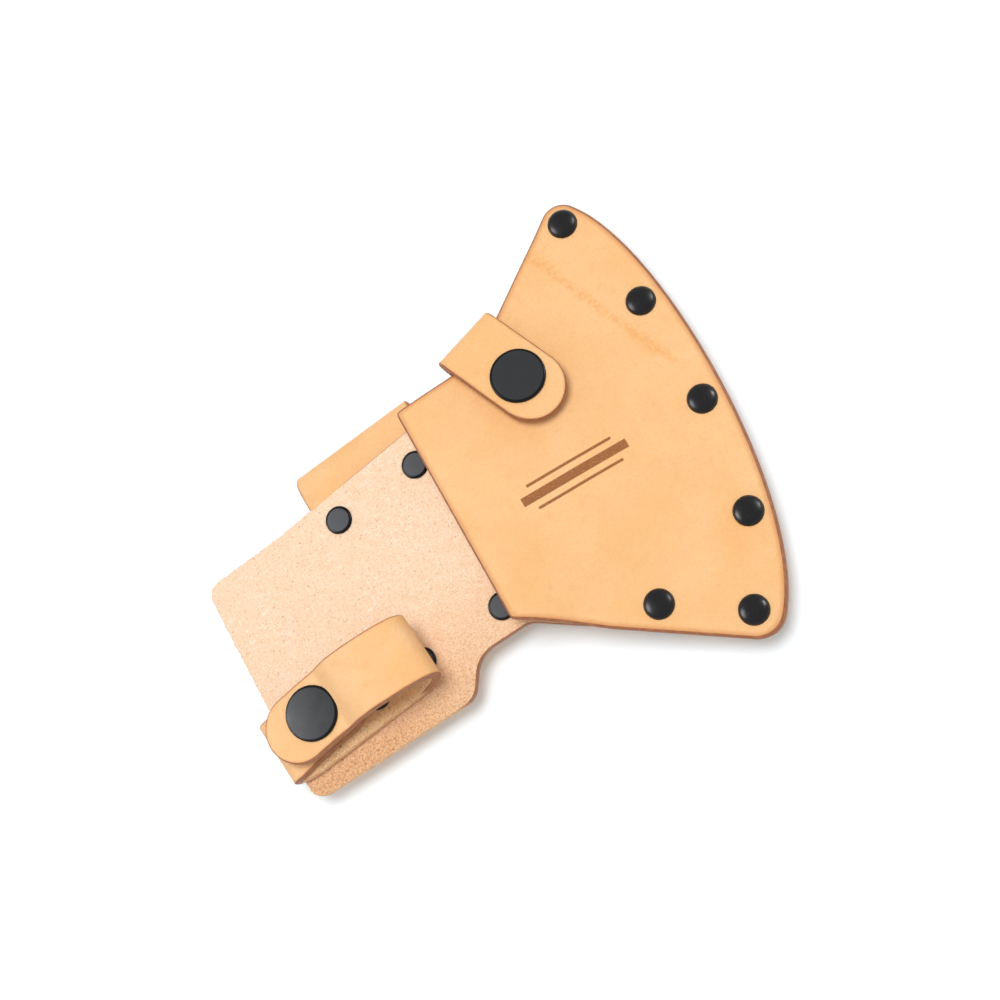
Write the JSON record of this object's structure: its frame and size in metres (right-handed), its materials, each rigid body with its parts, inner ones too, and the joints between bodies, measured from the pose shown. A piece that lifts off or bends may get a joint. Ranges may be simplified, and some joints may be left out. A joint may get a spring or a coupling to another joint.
{
  "type": "felling axe head sheath",
  "caption": "Riveted leather sheath for a felling axe head, with a belt loop, a snap strap over the top edge and a snap loop for the handle.",
  "frame": {"origin": "bottom centre of the bounding box, sheath lying on its back", "axes": "+X from the poll flap to the cutting edge, +Y towards the upper tip of the blade, +Z out of the front face"},
  "size_m": [0.154, 0.1304, 0.0289],
  "materials": {
    "grain_leather": "smooth vegetable-tanned grain side, natural tan",
    "flesh_leather": "rough suede flesh side facing the axe, pale tan",
    "edge_leather": "spacer layer, burnished edge",
    "black_metal": "glossy black oxide on steel"
  },
  "bodies": {
    "sheath": {"back_panel": "flesh_leather", "front_panel": "grain_leather", "welt": "edge_leather", "blade_rivet_1_cap": "black_metal", "blade_rivet_1_post": "black_metal", "blade_rivet_2_cap": "black_metal", "blade_rivet_2_post": "black_metal", "blade_rivet_3_cap": "black_metal", "blade_rivet_3_post": "black_metal", "blade_rivet_4_cap": "black_metal", "blade_rivet_4_post": "black_metal", "blade_rivet_5_cap": "black_metal", "blade_rivet_5_post": "black_metal", "blade_rivet_6_cap": "black_metal", "blade_rivet_6_post": "black_metal", "belt_loop": "grain_leather", "belt_rivet_1_cap": "black_metal", "belt_rivet_1_post": "black_metal", "belt_rivet_2_cap": "black_metal", "belt_rivet_2_post": "black_metal", "belt_rivet_3_cap": "black_metal", "belt_rivet_3_post": "black_metal", "belt_rivet_4_cap": "black_metal", "belt_rivet_4_post": "black_metal", "closure_strap_root": "grain_leather", "closure_rivet_1_cap": "black_metal", "closure_rivet_1_post": "black_metal", "closure_rivet_2_cap": "black_metal", "closure_rivet_2_post": "black_metal", "closure_snap_stud": "black_metal", "closure_snap_post": "black_metal", "handle_strap_base": "grain_leather", "handle_rivet_cap": "black_metal", "handle_rivet_post": "black_metal", "handle_snap_stud": "black_metal", "handle_snap_post": "black_metal"},
    "closure_flap": {"closure_strap_flap": "grain_leather", "closure_snap_cap": "black_metal", "closure_snap_socket": "black_metal"},
    "handle_flap": {"handle_strap_flap": "grain_leather", "handle_snap_cap": "black_metal", "handle_snap_socket": "black_metal"}
  },
  "joints": [
    {"name": "closure_strap_open", "type": "hinge", "parent": "sheath", "child": "closure_flap", "pos_m": [0.02507, 0.04474, 0.0171], "axis": [-0.9129, -0.387, 0.13], "range_deg": [0, 115]},
    {"name": "handle_strap_open", "type": "hinge", "parent": "sheath", "child": "handle_flap", "pos_m": [-0.02663, -0.02191, 0.0166], "axis": [0, 1, 0], "range_deg": [0, 95]}
  ]
}
